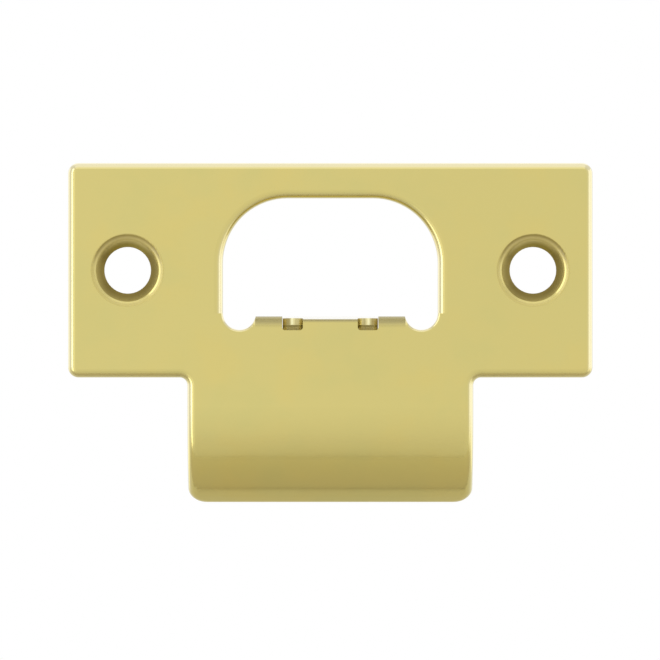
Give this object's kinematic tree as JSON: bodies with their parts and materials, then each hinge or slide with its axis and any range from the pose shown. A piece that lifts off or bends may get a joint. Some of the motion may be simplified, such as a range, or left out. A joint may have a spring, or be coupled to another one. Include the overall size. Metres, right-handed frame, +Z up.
{
  "type": "door strike plate",
  "caption": "Brass T-shaped strike plate with a curved lip, a latch hole with a folded adjusting tab, and countersunk screw holes, for the edge of a door jamb.",
  "frame": {"origin": "midway between the two screw holes, on the back face that lies against the jamb", "axes": "+X along the plate's length, +Z up across the plate away from the lip, +Y into the jamb; the show face looks along -Y"},
  "size_m": [0.0698, 0.0088, 0.0453],
  "materials": {
    "brass": "satin polished brass under clear lacquer"
  },
  "bodies": {
    "root": {"strike_plate": "brass"}
  },
  "joints": []
}
